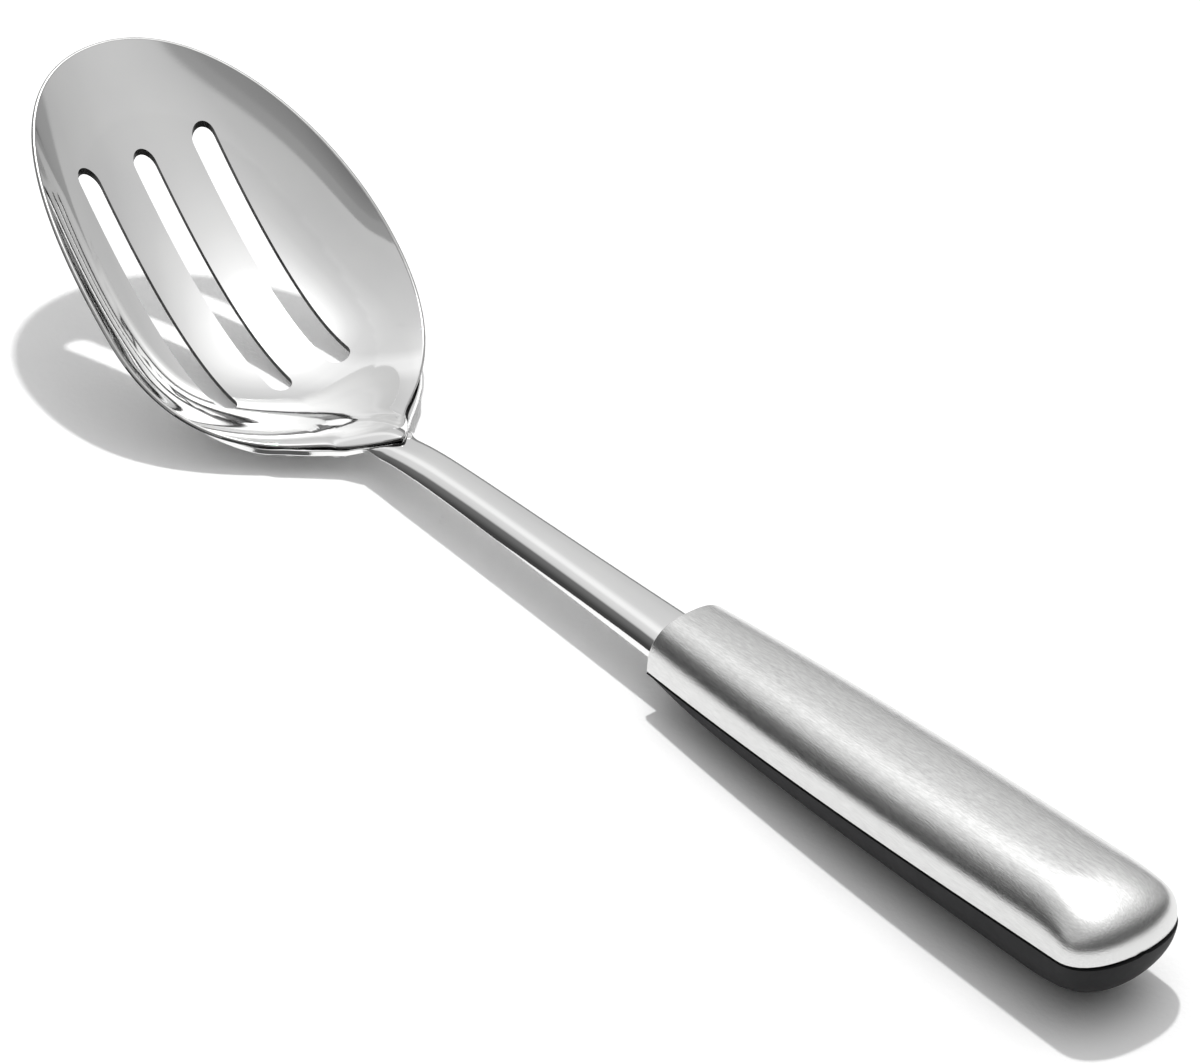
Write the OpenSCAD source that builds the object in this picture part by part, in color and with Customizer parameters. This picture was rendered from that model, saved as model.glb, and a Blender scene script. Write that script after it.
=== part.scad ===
// Slotted serving spoon: a stamped bowl welded to an arched stem, whose tang is
// pinned in a handle with a steel half shell above and a soft grip below.
// The spoon lies as on a table: z = 0 is the table, +X points to the handle's tail,
// and the origin is under the middle of the spoon's length.

/* [Overall] */
// Length from the bowl's tip to the handle's tail
overall_l = 311; // [300:1:330]

/* [Bowl] */
// Length of the bowl in plan, from its tip to the end of its tongue
bowl_l = 101.4; // [99:0.1:104]
// Width across the rim's inner edge
bowl_w = 67.6; // [60:0.1:76]
// Thickness of the bowl's sheet
sheet_t = 1.0; // [0.8:0.1:1.4]
// Distance from the tongue's end to the widest place
widest_back = 48.8; // [44:0.1:52]
// Distance from the tongue's end to the lowest place inside
belly_back = 32.7; // [30:0.1:35]
// Length of the tongue behind its waist
tongue_l = 9.9; // [8:0.1:11]
// Width of the tongue at its waist
tongue_w = 17.4; // [15:0.1:20]
// Height of the rim at the tip
rim_tip_h = 49.9; // [42:0.1:56]
// Height of the rim at the widest place
rim_mid_h = 21.4; // [18:0.1:25]
// Height of the rim at the tongue's waist
rim_waist_h = 6.1; // [5.4:0.1:7.5]
// Height of the tongue's end
tongue_h = 9.9; // [9:0.1:11]

/* [Slots] */
// Number of slots across the bowl
slot_n = 3; // [1:2:3]
// Width of a slot
slot_w = 5.0; // [4:0.1:7]
// Length of a slot in plan
slot_l = 48.5; // [36:0.1:50]
// Distance between neighbouring slots
slot_pitch = 14.0; // [11:0.1:16]
// Distance from the tip to the outer slots
slot_start = 16.6; // [14:0.1:18]
// How much nearer to the tip the middle slot lies
slot_lead = 0.7; // [0:0.1:2]

/* [Stem] */
// Thickness of the stem's strip
stem_t = 1.2; // [1:0.1:1.6]
// Width of the stem at its neck
neck_w = 10.7; // [9:0.1:13]
// Width of the stem where it enters the handle
stem_rear_w = 14.2; // [12:0.1:16]
// Height of the stem's crown under the tongue's end
crown_neck_h = 8.9; // [8.4:0.1:9.4]
// Height of the stem's crown at the handle
crown_rear_h = 12.2; // [11:0.1:13]
// Height of the crown's swell behind the tongue
crown_swell = 1.3; // [0:0.1:2]
// Depth of the arch at the neck
arch_neck = 2.0; // [1:0.1:3]
// Depth of the arch at the handle
arch_rear = 4.0; // [3:0.1:5]
// Width of the paddle that hugs the bowl
paddle_w = 50.6; // [40:0.1:53]
// Diameter of a weld spot
weld_d = 4.0; // [3:0.1:5]

/* [Tang] */
// Length of the tang inside the handle
tang_l = 62; // [50:0.5:80]
// Width of the tang at its end
tang_w = 11.0; // [8:0.1:12]
// Depth of the tang's arch
tang_arch = 2.4; // [2:0.1:3]
// Height that the tang's crown gains over its length
tang_rise = 3.4; // [3:0.1:4]
// Diameter of a tang pin
pin_d = 3.0; // [2:0.1:4]
// Length of a tang pin
pin_l = 6.5; // [5:0.1:7]
// Distance from the handle's front to the first pin
pin_start = 22; // [16:0.5:28]
// Distance between the pins
pin_pitch = 28; // [16:0.5:34]

/* [Handle] */
// Length of the handle
handle_l = 123.4; // [115:0.1:130]
// Width of the handle at its front
handle_front_w = 19.8; // [18:0.1:23]
// Width of the handle at its widest
handle_w = 26.6; // [24:0.1:32]
// Height of the seam above the table at the handle's front
seam_front_h = 8.1; // [7.5:0.1:9]
// Height of the seam above the table at the tail
seam_tail_h = 14.6; // [13:0.1:17]
// Height of the shell above the seam at the front
shell_front_h = 9.3; // [9:0.1:12]
// Height of the shell above the seam before its tail
shell_rear_h = 10.1; // [9:0.1:13]
// Thickness of the shell
shell_t = 0.8; // [0.6:0.1:1.2]
// Length over which the tail rounds off in plan
tail_round_l = 8.5; // [6:0.1:14]
// Length over which the tail's top falls away
tail_dome_l = 18; // [14:0.1:30]
// Length of the grip's rising front
bow_l = 20; // [16:0.5:40]
// Height of the grip's underside behind its bow
grip_lift = 1.4; // [0.5:0.1:3]
// Length over which the underside comes down to the table
lift_l = 75; // [50:1:90]
// Length over which the underside rises at the tail
heel_l = 19; // [10:0.1:24]
// How far the core's face stands back from the handle's front
core_recess = 2.0; // [1:0.1:4]
// How far the grip reaches behind the shell at the tail
grip_lip = 0.5; // [0.2:0.1:1]
// Width of the core's keel in the grip
keel_w = 9.0; // [6:0.1:12]
// Depth of the keel below the seam
keel_drop = 2.0; // [1:0.1:3]
// Distance from the handle's front to the keel
keel_start = 12; // [10:0.5:20]
// Distance from the tail to the core's end
core_end = 12.5; // [11:0.1:30]

/* [Hidden] */
steel_colour = [0.80, 0.80, 0.80];
brushed_colour = [0.68, 0.68, 0.67];
grip_colour = [0.10, 0.10, 0.11];
core_colour = [0.16, 0.16, 0.17];

// Clearances
weld_gap = 0.1;
spot_gap = 0.05;
seat_gap = 0.1;
pin_gap = 0.05;
cut_over = 1;

// How far the rounded rim bulges out beyond its inner edge at the tip
edge_bulge = 0.36;

// Places along the spoon
tip_x = edge_bulge - overall_l / 2;
tail_x = overall_l / 2;
tongue_x = tip_x + bowl_l;
belly = [tongue_x - belly_back, 0, sheet_t];
front_x = tail_x - handle_l;
tang_end_x = front_x + tang_l;
round_x = tail_x - tail_round_l;
dome_x = tail_x - tail_dome_l;

function clamped(v) = max(0, min(1, v));
function signed_pow(v, e) = sign(v) * pow(abs(v), e);
function soft_min(a, b, soft) = min(a, b) - soft * ln(1 + exp(-abs(a - b) / soft));
function bezier(p, t) =
    pow(1 - t, 3) * p[0] + 3 * t * pow(1 - t, 2) * p[1]
    + 3 * t * t * (1 - t) * p[2] + pow(t, 3) * p[3];

// Rim: three Bezier spans from the tip to the end of the tongue, on the +Y side
tip_full_share = 0.75;
front_full_share = 0.375;
rear_full_share = 0.66;
waist_in_share = 0.136;
waist_angle = 22;
tongue_side_share = 0.154;
tongue_end_share = 0.25;
// Fall of the rim per unit of length where it is widest, and at the waist
rim_fall = 0.76;
waist_fall = 0.036;
front_n = 14;
rear_n = 18;
tongue_n = 8;

half_w = bowl_w / 2;
widest_x = bowl_l - widest_back;
waist_x = bowl_l - tongue_l;
front_reach = front_full_share * widest_x;
rear_span = waist_x - widest_x;
rear_reach = rear_full_share * rear_span;
waist_reach = waist_in_share * rear_span;
tongue_reach = tongue_side_share * tongue_l;
waist_dir = [cos(waist_angle), -sin(waist_angle), -waist_fall];
waist_pt = [waist_x, tongue_w / 2, rim_waist_h];
widest_pt = [widest_x, half_w, rim_mid_h];
tip_span = [
    [0, 0, rim_tip_h],
    [0, tip_full_share * half_w, rim_tip_h],
    widest_pt + [-front_reach, 0, rim_fall * front_reach],
    widest_pt
];
rear_bend = [
    widest_pt,
    widest_pt + [rear_reach, 0, -rim_fall * rear_reach],
    waist_pt - waist_reach * waist_dir,
    waist_pt
];
tongue_span = [
    waist_pt,
    waist_pt + tongue_reach * waist_dir,
    [bowl_l, tongue_end_share * tongue_w / 2, tongue_h],
    [bowl_l, 0, tongue_h]
];
function on_spoon(p) = [tip_x + p[0], p[1], p[2]];
half_rim = [
    for (i = [0:front_n - 1]) on_spoon(bezier(tip_span, i / front_n)),
    for (i = [0:rear_n - 1]) on_spoon(bezier(rear_bend, i / rear_n)),
    for (i = [0:tongue_n]) on_spoon(bezier(tongue_span, i / tongue_n))
];
half_n = len(half_rim);
rim = [
    for (p = half_rim) p,
    for (i = [half_n - 2:-1:1]) [half_rim[i][0], -half_rim[i][1], half_rim[i][2]]
];
rim_n = len(rim);

// Bowl surface: it rises from the belly to the rim, more steeply in the directions
// where the wall is full and flattening out where it is below zero
wall_shares = [-0.08, -0.54, -0.28, 0.235];
bottom_share = 0.87;
function wall(a) =
    wall_shares[0] + wall_shares[1] * cos(a) + wall_shares[2] * cos(2 * a)
    + wall_shares[3] * cos(3 * a);
function hollow(r) = sqrt(r * r + bottom_share * bottom_share) - bottom_share;
function rise(r, a) = (1 - wall(a)) * hollow(r) / hollow(1) + wall(a) * pow(r, 5);
function angle_of(x, y) = abs(atan2(y, x - belly[0]));
function reach_of(x, y) = norm([x - belly[0], y]);
reach_table = [
    for (i = [half_n - 1:-1:0])
        let (p = half_rim[i]) [angle_of(p[0], p[1]), reach_of(p[0], p[1])]
];
height_table = [
    for (i = [half_n - 1:-1:0])
        let (p = half_rim[i]) [angle_of(p[0], p[1]), p[2]]
];

// Inside height of the bowl over a point in plan, held level outside the rim
function bowl_z(x, y) =
    let (a = angle_of(x, y),
         r = min(1, reach_of(x, y) / lookup(a, reach_table)))
    belly[2] + (lookup(a, height_table) - belly[2]) * rise(r, a);
slope_step = 0.2;
function bowl_normal(x, y) =
    let (rise_x = bowl_z(x + slope_step, y) - bowl_z(x - slope_step, y),
         rise_y = bowl_z(x, y + slope_step) - bowl_z(x, y - slope_step),
         n = [-rise_x, -rise_y, 2 * slope_step])
    n / norm(n);

// Rings of the bowl from its rounded edge inwards; the last step ends in the belly point
ring_shares = [0.986, 0.965, 0.935, 0.895, 0.84, 0.775, 0.7, 0.615, 0.52, 0.42, 0.31, 0.2, 0.1];
edge_share = 0.98;
function toward_rim(p, share) = [
    belly[0] + share * (p[0] - belly[0]),
    share * p[1]
];
function inner_point(p, share) =
    let (q = toward_rim(p, share))
    [q[0], q[1], belly[2] + (p[2] - belly[2]) * rise(share, angle_of(p[0], p[1]))];
function sunk_point(p, share, depth) =
    let (q = toward_rim(p, min(share, edge_share)))
    inner_point(p, share) - depth * bowl_normal(q[0], q[1]);

// Faces between closed rings, with a last point that closes them
function ring_faces(rings, n, base, out) = [
    for (i = [0:rings - 2], j = [0:n - 1])
        let (k = (j + 1) % n,
             a = base + i * n + j, b = base + i * n + k,
             c = a + n, d = b + n)
        for (f = out ? [[a, b, c], [b, d, c]] : [[a, c, b], [b, c, d]]) f
];
function fan_faces(rings, n, base, out) = [
    for (j = [0:n - 1])
        let (a = base + (rings - 1) * n + j,
             b = base + (rings - 1) * n + (j + 1) % n,
             c = base + rings * n)
        out ? [a, b, c] : [a, c, b]
];
module bowl_shell() {
    rings = len(ring_shares);
    layer = rings * rim_n + 1;
    inner = [for (s = ring_shares) for (p = rim) inner_point(p, s)];
    outer = [for (s = ring_shares) for (p = rim) sunk_point(p, s, sheet_t)];
    edge = [for (p = rim) sunk_point(p, 1, sheet_t / 2)];
    points = concat(inner, [belly], outer, [[belly[0], 0, 0]], edge);
    lip = [
        for (j = [0:rim_n - 1])
            let (k = (j + 1) % rim_n, e = 2 * layer + j, g = 2 * layer + k)
            for (f = [[j, e, k], [k, e, g], [e, j + layer, g], [g, j + layer, k + layer]]) f
    ];
    polyhedron(points, concat(
        ring_faces(rings, rim_n, 0, true), fan_faces(rings, rim_n, 0, true),
        ring_faces(rings, rim_n, layer, false), fan_faces(rings, rim_n, layer, false), lip
    ));
}
module slot(y) {
    start = tip_x + slot_start + slot_w / 2 - (y == 0 ? slot_lead : 0);
    span = slot_l - slot_w;
    top = rim_tip_h + cut_over;
    translate([start, y, -cut_over]) {
        cylinder(d = slot_w, h = top + cut_over, $fn = 32);
        translate([span, 0, 0])
            cylinder(d = slot_w, h = top + cut_over, $fn = 32);
        translate([0, -slot_w / 2, 0])
            cube([span, slot_w, top + cut_over]);
    }
}

// A closed skin between two grids of points, rows by columns. With a pole, the last
// row of each grid is one point.
function grid_faces(rows, cols, base, up) = [
    for (i = [0:rows - 2], j = [0:cols - 2])
        let (a = base + i * cols + j, b = a + 1, c = a + cols, d = c + 1)
        for (f = up ? [[a, b, c], [b, d, c]] : [[a, c, b], [b, c, d]]) f
];
function grid_edge(rows, cols) = concat(
    [for (j = [0:cols - 1]) j],
    [for (i = [1:rows - 1]) i * cols + cols - 1],
    [for (j = [cols - 2:-1:0]) (rows - 1) * cols + j],
    [for (i = [rows - 2:-1:1]) i * cols]
);
function at_pole(f, rows, cols) = [
    for (k = f)
        let (n = rows * cols, base = k < n ? 0 : n, last = base + (rows - 1) * cols)
        k >= last ? last : k
];
function is_whole(f) = f[0] != f[1] && f[1] != f[2] && f[0] != f[2];
module sheet(top, bottom, pole) {
    rows = len(top);
    cols = len(top[0]);
    n = rows * cols;
    edge = grid_edge(rows, cols);
    edge_n = len(edge);
    points = concat([for (r = top) for (p = r) p], [for (r = bottom) for (p = r) p]);
    walls = [
        for (k = [0:edge_n - 1])
            let (a = edge[k], b = edge[(k + 1) % edge_n])
            for (f = [[a, a + n, b], [b, a + n, b + n]]) f
    ];
    faces = concat(grid_faces(rows, cols, 0, true), grid_faces(rows, cols, n, false), walls);
    whole = pole ? [for (f = faces) let (g = at_pole(f, rows, cols)) if (is_whole(g)) g] : faces;
    polyhedron(points, whole);
}
function grid_normal(g, i, j) =
    let (m = len(g) - 1, n = len(g[0]) - 1,
         along = g[min(m, i + 1)][j] - g[max(0, i - 1)][j],
         across = g[i][min(n, j + 1)] - g[i][max(0, j - 1)],
         c = cross(along, across))
    norm(c) > 0 ? c / norm(c) : along / norm(along);
function offset_grid(g, d) = [
    for (i = [0:len(g) - 1]) [
        for (j = [0:len(g[0]) - 1]) g[i][j] - d * grid_normal(g, i, j)
    ]
];

// Stem: an arched strip. Its sections run from the tang's end to the paddle's front.
section_n = 24;
arch_square_neck = 2.3;
arch_square_rear = 2.9;
edge_angle_neck = 60;
edge_angle_rear = 80;
widen_power = 1.5;
swell_fade_l = 8;
hug_soft = 0.22;
free_rise_share = 1.2;
free_lead = 5;
wing_rise_share = 0.95;
lip_room = 0.2;
paddle_rise_l = 9;
neck_behind_tongue = 1.7;
paddle_back = 32.3;
paddle_front_l = 3.2;
paddle_square = 3;
flare_lead = 6;
flare_front_l = 14;
flare_rear_l = 5;
tang_turn_l = 10;

neck_x = tongue_x + neck_behind_tongue;
free_x = neck_x - free_lead;
paddle_x = tongue_x - paddle_back;
stem_l = front_x - neck_x;
function along_stem(x) = (x - neck_x) / stem_l;
function along_tang(x) = clamped((x - front_x) / tang_turn_l);
function strip_half(x) =
    x < front_x
        ? neck_w / 2 + (stem_rear_w - neck_w) / 2 * pow(clamped(along_stem(x)), widen_power)
        : stem_rear_w / 2 - (stem_rear_w - tang_w) / 2 * (x - front_x) / tang_l;
function crown(x) =
    let (behind = max(0, x - tongue_x),
         along = min(1, along_stem(x)),
         line = crown_neck_h + (crown_rear_h - crown_neck_h - crown_swell) * along)
    line + crown_swell * (1 - exp(-behind / swell_fade_l))
    + tang_rise * max(0, x - front_x) / tang_l;
function arch(x) =
    x < front_x ? arch_neck + (arch_rear - arch_neck) * clamped(along_stem(x))
                : arch_rear + (tang_arch - arch_rear) * along_tang(x);
function squareness(x) =
    arch_square_neck + (arch_square_rear - arch_square_neck) * clamped(along_stem(x));
function edge_angle(x) =
    edge_angle_neck + (edge_angle_rear - edge_angle_neck) * clamped(along_stem(x));
// Half of the bowl's width behind its widest place
half_width_table = [for (i = [front_n:half_n - 1]) [half_rim[i][0], half_rim[i][1]]];
// Height that the stem must keep to under the bowl; beside the bowl it may rise
function under_bowl(x, y) =
    bowl_z(x, y) - (sheet_t + weld_gap) / bowl_normal(x, y)[2]
    + wing_rise_share * max(0, abs(y) - lip_room - lookup(x, half_width_table))
    + free_rise_share * max(0, x - tongue_x);
function stem_point(x, half, a, grow) =
    let (e = 2 / squareness(x),
         full = edge_angle(x),
         turn = a * full / 90,
         y = (half + grow) * signed_pow(sin(turn) / sin(full), e),
         fall = (1 - pow(cos(turn), e)) / (1 - pow(cos(full), e)),
         ahead = max(0, free_x - x) / paddle_rise_l,
         own = crown(x) + grow + ahead * ahead * paddle_rise_l
               - (arch(x) + 2 * grow) * fall)
    [x, y, x < neck_x + tang_turn_l ? soft_min(own, under_bowl(x, y), hug_soft) : own];
function stem_row(x, half, grow) = [
    for (j = [0:section_n]) stem_point(x, half, 90 - 180 * j / section_n, grow)
];
flare = [
    [neck_x - flare_lead, neck_w / 2],
    [neck_x - flare_lead - flare_rear_l, neck_w / 2],
    [paddle_x + flare_front_l, paddle_w / 2],
    [paddle_x, paddle_w / 2]
];
flare_n = 16;
corner_n = 6;
tang_shares = [1, 0.72, 0.44, 0.2, 0.1, 0.03];
strip_shares = [1, 0.88, 0.74, 0.58, 0.42, 0.28, 0.18, 0.11, 0.06, 0.03, 0];
stem_grid = concat(
    [for (s = tang_shares) let (x = front_x + s * tang_l) stem_row(x, strip_half(x), 0)],
    [for (s = strip_shares) let (x = neck_x + s * stem_l) stem_row(x, strip_half(x), 0)],
    [for (i = [0:flare_n]) let (p = bezier(flare, i / flare_n)) stem_row(p[0], p[1], 0)],
    [for (i = [1:corner_n])
        let (a = 90 * i / corner_n, e = 2 / paddle_square)
        stem_row(paddle_x - paddle_front_l * pow(sin(a), e), paddle_w / 2 * pow(cos(a), e), 0)]
);
// Room for the tang, larger than it by the seat gap on every side
tang_room_grid = [
    for (s = concat([1 + seat_gap / tang_l], [for (i = [1:len(tang_shares) - 1]) tang_shares[i]],
                    [0, -core_recess / tang_l]))
        let (x = front_x + s * tang_l)
        stem_row(x, strip_half(x), seat_gap)
];
module tang_room() {
    sheet(tang_room_grid, offset_grid(tang_room_grid, stem_t + 2 * seat_gap), false);
}

// Notch in the paddle's front, which leaves the belly free to rest on the table
notch_back = 38;
notch_reach = 18.5;
notch_half = 21;
module notch() {
    translate([tongue_x - notch_back, 0, -cut_over - stem_t])
        scale([notch_reach / notch_half, 1, 1])
            cylinder(r = notch_half, h = rim_mid_h, $fn = 64);
}

// Weld spots: one in the middle and two pairs, as distances from the tongue's end and
// from the middle
rear_spot_back = 10.9;
inner_spot_back = 18.4;
inner_spot_half = 7.5;
outer_spot_back = 24.9;
outer_spot_half = 18.5;
spot_places = [
    [rear_spot_back, 0],
    for (side = [-1, 1]) [inner_spot_back, side * inner_spot_half],
    for (side = [-1, 1]) [outer_spot_back, side * outer_spot_half]
];
module at_spots() {
    for (s = spot_places) {
        x = tongue_x - s[0];
        n = bowl_normal(x, s[1]);
        translate([x, s[1], bowl_z(x, s[1])])
            rotate([0, acos(n[2]), atan2(n[1], n[0])])
                children();
    }
}

// Handle outline
widen_share = 0.75;
front_widen_power = 2.3;
shell_square = 2.6;
round_power = 2.2;
dome_power = 2.4;
grip_square = 2.0;
grip_least_depth = 0.6;
handle_n = 24;
front_shares = [0, 0.02, 0.05, 0.1, 0.17, 0.26, 0.38, 0.52, 0.68, 0.84];
dome_shares = [0, 0.33, 0.66];
tail_angles = [0, 15, 30, 45, 58, 70, 80, 90];
shell_end_x = tail_x - grip_lip;
function stations(end) = concat(
    [for (s = front_shares) front_x + s * (dome_x - front_x)],
    [for (s = dome_shares) dome_x + s * (round_x - dome_x)],
    [for (a = tail_angles) round_x + (end - round_x) * sin(a)]
);
function along_handle(x) = (x - front_x) / handle_l;
function seam(x) = seam_front_h + (seam_tail_h - seam_front_h) * along_handle(x);
function rounded_off(x, start, end, power) =
    pow(max(0, 1 - pow(clamped((x - start) / (end - start)), power)), 1 / power);
function handle_half(x, end) =
    let (u = clamped(along_handle(x) / widen_share))
    (handle_front_w + (handle_w - handle_front_w) * (1 - pow(1 - u, front_widen_power))) / 2
    * rounded_off(x, round_x, end, round_power);
function shell_rise(x) =
    (shell_front_h + (shell_rear_h - shell_front_h) * along_handle(x))
    * rounded_off(x, dome_x, shell_end_x, dome_power);
function underside(x) =
    let (bow = clamped(1 - (x - front_x) / bow_l),
         lift = clamped(1 - (x - front_x) / lift_l),
         heel = clamped(1 - (tail_x - x) / heel_l))
    (seam_front_h - grip_lift) * (1 - sqrt(1 - bow * bow)) + grip_lift * lift * lift
    + seam_tail_h * (1 - sqrt(max(0, 1 - heel * heel)));
function grip_depth(x) = x < tail_x ? max(grip_least_depth, seam(x) - underside(x)) : 0;

function shell_row(x, inset) = [
    for (j = [0:handle_n])
        let (a = 180 * j / handle_n - 90, e = 2 / shell_square)
        [x, (handle_half(x, shell_end_x) - inset) * signed_pow(sin(a), e),
         seam(x) + max(0, shell_rise(x) - inset) * pow(abs(cos(a)), e)]
];
shell_grid = [for (x = stations(shell_end_x)) shell_row(x, 0)];

// Solid between rings that lie across the handle. With a pole, the last ring is one point.
module loft(rings, pole) {
    n = len(rings[0]);
    last = (len(rings) - 1) * n;
    points = [for (r = rings) for (p = r) p];
    sides = [
        for (i = [0:len(rings) - 2], j = [0:n - 1])
            let (k = (j + 1) % n, a = i * n + j, b = i * n + k, c = a + n, d = b + n)
            for (f = [[a, b, c], [b, d, c]])
                let (g = [for (m = f) pole && m >= last ? last : m])
                if (is_whole(g)) g
    ];
    start = [for (j = [n - 1:-1:0]) j];
    finish = [for (j = [0:n - 1]) last + j];
    polyhedron(points, concat(sides, [start], pole ? [] : [finish]));
}

// Core: it fills the shell, and its keel sinks into the grip
core_shares = [0, 0.04, 0.1, 0.18, 0.28, 0.42, 0.58, 0.74, 0.88, 1];
core_first_x = front_x + core_recess;
core_last_x = tail_x - core_end;
module core_body() {
    loft([
        for (s = core_shares)
            shell_row(core_first_x + s * (core_last_x - core_first_x), shell_t + seat_gap)
    ], false);
}
module keel(grow) {
    half = keel_w / 2 + grow;
    loft([
        for (x = [front_x + keel_start - grow, core_last_x + grow])
            let (low = seam(x) - keel_drop - grow, high = seam(x) + cut_over)
            [[x, -half, low], [x, -half, high], [x, half, high], [x, half, low]]
    ], false);
}
module at_pins() {
    for (i = [0, 1]) {
        x = front_x + pin_start + i * pin_pitch;
        translate([x, 0, crown(x) - stem_t / 2 - pin_l / 2])
            children();
    }
}

module bowl() {
    color(steel_colour)
        difference() {
            bowl_shell();
            for (i = [0:slot_n - 1])
                slot((i - (slot_n - 1) / 2) * slot_pitch);
        }
}

module stem() {
    spot_h = sheet_t + weld_gap + stem_t + cut_over;
    color(steel_colour)
        difference() {
            sheet(stem_grid, offset_grid(stem_grid, stem_t), true);
            notch();
            at_spots()
                translate([0, 0, -spot_h])
                    cylinder(d = weld_d + 2 * spot_gap, h = spot_h, $fn = 32);
            at_pins()
                cylinder(d = pin_d + 2 * seat_gap, h = pin_l, $fn = 32);
        }
}

module weld_spots() {
    color(steel_colour)
        at_spots()
            translate([0, 0, -sheet_t - weld_gap - stem_t])
                cylinder(d = weld_d, h = stem_t + weld_gap - spot_gap, $fn = 32);
}

module handle_shell() {
    color(brushed_colour)
        sheet(shell_grid, offset_grid(shell_grid, shell_t), true);
}

module handle_core() {
    color(core_colour)
        difference() {
            union() {
                core_body();
                keel(0);
            }
            tang_room();
            at_pins()
                translate([0, 0, -pin_gap])
                    cylinder(d = pin_d + 2 * pin_gap, h = pin_l + 2 * pin_gap, $fn = 32);
        }
}

module soft_grip() {
    rings = [
        for (x = stations(tail_x)) [
            for (j = [0:handle_n])
                let (a = 90 - 180 * j / handle_n, e = 2 / grip_square,
                     top = seam(x) - seat_gap)
                [x, handle_half(x, tail_x) * signed_pow(sin(a), e),
                 top - max(0, grip_depth(x) - seat_gap) * pow(abs(cos(a)), e)]
        ]
    ];
    color(grip_colour)
        difference() {
            loft(rings, true);
            keel(seat_gap);
        }
}

module tang_pins() {
    color(steel_colour)
        at_pins()
            cylinder(d = pin_d, h = pin_l, $fn = 32);
}

bowl();
stem();
weld_spots();
handle_shell();
handle_core();
soft_grip();
tang_pins();
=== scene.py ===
"""Slotted serving spoon: polished bowl and stem, brushed half shell, soft grip."""
import math

import bpy
import numpy as np
from mathutils import Matrix, Vector
from mathutils.bvhtree import BVHTree


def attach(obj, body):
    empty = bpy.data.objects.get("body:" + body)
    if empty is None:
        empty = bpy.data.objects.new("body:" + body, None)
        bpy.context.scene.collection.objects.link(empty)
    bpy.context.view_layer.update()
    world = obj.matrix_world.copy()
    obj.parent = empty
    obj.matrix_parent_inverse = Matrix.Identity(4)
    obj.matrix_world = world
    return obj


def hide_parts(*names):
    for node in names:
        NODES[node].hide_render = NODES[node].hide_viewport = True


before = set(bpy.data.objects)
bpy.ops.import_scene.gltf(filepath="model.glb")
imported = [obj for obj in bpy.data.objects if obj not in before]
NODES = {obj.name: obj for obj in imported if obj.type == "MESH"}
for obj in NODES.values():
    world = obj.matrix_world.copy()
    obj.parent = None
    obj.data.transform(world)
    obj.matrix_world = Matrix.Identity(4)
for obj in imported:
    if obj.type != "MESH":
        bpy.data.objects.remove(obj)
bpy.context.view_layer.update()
MM = 0.001

# Sizes in millimetres, as in the part's source
OVERALL_L = 311.0
BOWL_L, BOWL_W, SHEET_T = 101.4, 67.6, 1.0
WIDEST_X, BELLY_X, WAIST_X, TONGUE_W = 52.6, 68.7, 91.5, 17.4
RIM_TIP_H, RIM_MID_H, RIM_WAIST_H, TONGUE_H = 49.9, 21.4, 6.1, 9.9
SLOT_W, SLOT_L, SLOT_PITCH, SLOT_START, SLOT_LEAD = 5.0, 48.5, 14.0, 16.6, 0.7
STEM_T, NECK_W, STEM_REAR_W = 1.2, 10.7, 14.2
CROWN_NECK_H, CROWN_REAR_H, CROWN_SWELL = 8.9, 12.2, 1.3
ARCH_NECK, ARCH_REAR, PADDLE_W, WELD_D = 2.0, 4.0, 50.6, 4.0
TANG_L, TANG_W, TANG_ARCH, TANG_RISE = 62.0, 11.0, 2.4, 3.4
PIN_D, PIN_L, PIN_START, PIN_PITCH = 3.0, 6.5, 22.0, 28.0
HANDLE_L, HANDLE_FRONT_W, HANDLE_W = 123.4, 19.8, 26.6
SEAM_FRONT_H, SEAM_TAIL_H = 8.1, 14.6
SHELL_FRONT_H, SHELL_REAR_H, SHELL_T = 9.3, 10.1, 0.8
TAIL_ROUND_L, TAIL_DOME_L, BOW_L = 8.5, 18.0, 20.0
GRIP_LIFT, LIFT_L, HEEL_L, GRIP_LIP = 1.4, 75.0, 19.0, 0.5
WELD_GAP, SPOT_GAP, SEAT_GAP = 0.1, 0.05, 0.1
EDGE_BULGE = 0.36
TIP_X = EDGE_BULGE - OVERALL_L / 2
TAIL_X = OVERALL_L / 2
BELLY = np.array([TIP_X + BELLY_X, 0.0, SHEET_T])
TONGUE_X = TIP_X + BOWL_L
FRONT_X = TAIL_X - HANDLE_L
ROUND_X = TAIL_X - TAIL_ROUND_L
DOME_X = TAIL_X - TAIL_DOME_L


def bezier(p, t):
    p = np.asarray(p, float)
    t = np.atleast_1d(np.asarray(t, float))[:, None]
    return ((1 - t) ** 3 * p[0] + 3 * t * (1 - t) ** 2 * p[1]
            + 3 * t * t * (1 - t) * p[2] + t ** 3 * p[3])


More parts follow.
